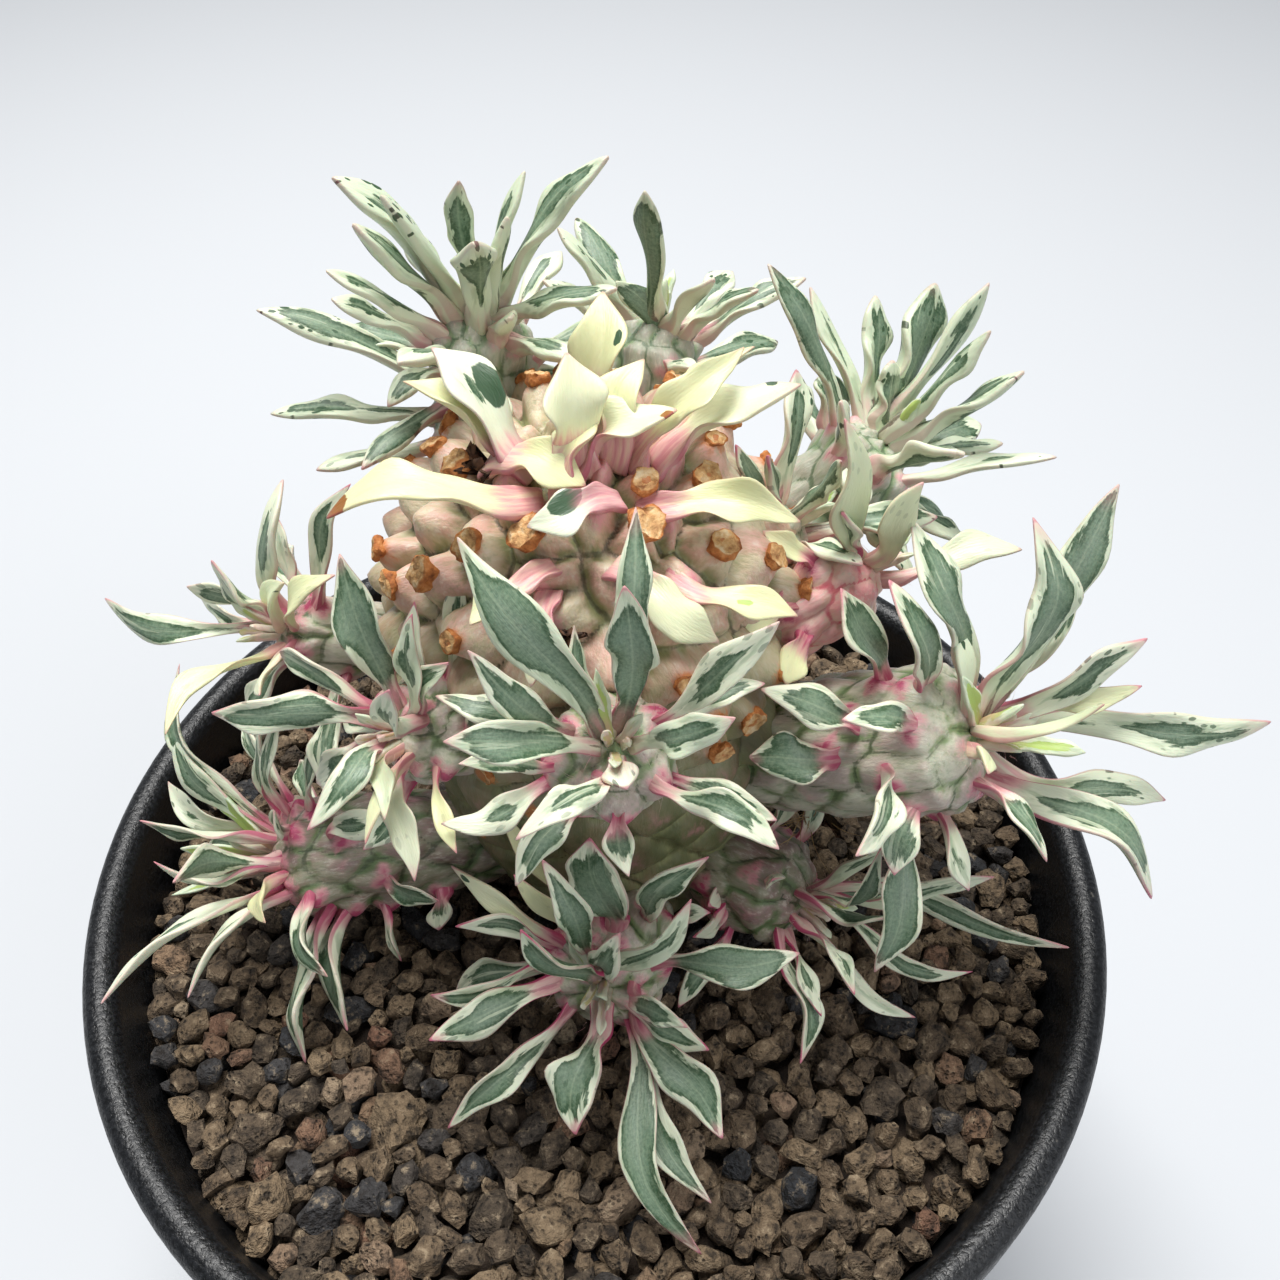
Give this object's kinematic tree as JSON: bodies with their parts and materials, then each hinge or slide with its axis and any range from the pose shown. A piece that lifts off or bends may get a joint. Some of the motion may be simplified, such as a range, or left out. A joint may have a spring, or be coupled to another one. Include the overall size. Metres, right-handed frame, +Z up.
{
  "type": "potted sotetsukirin euphorbia",
  "caption": "Variegated many-headed succulent with a swollen tubercled trunk and narrow cream-edged leaves, in a round tapered black pot filled with pumice.",
  "frame": {"origin": "middle of the pot's flat underside", "axes": "+Z up along the pot's axis, -Y towards the viewer of the picture, +X to the viewer's right"},
  "size_m": [0.129, 0.12, 0.1664],
  "materials": {
    "pot": "matt black moulded plastic with a soft sheen on the rim",
    "soil": "rough dry brown pumice and akadama grains",
    "trunk": "waxy cream and olive tubercles with corky leaf scars",
    "leaf": "waxy blue-green with cream margins and pink tips"
  },
  "bodies": {
    "root": {"pot": "pot", "soil": "soil", "trunk": "trunk", "head_front": "leaf", "head_low_front": "leaf", "head_left": "leaf", "head_low_left": "leaf", "head_far_left": "leaf", "head_back_left": "leaf", "head_back": "leaf", "head_back_right": "leaf", "head_inner_right": "leaf", "head_pink": "leaf", "head_right": "leaf", "head_low_right": "leaf"}
  },
  "joints": []
}
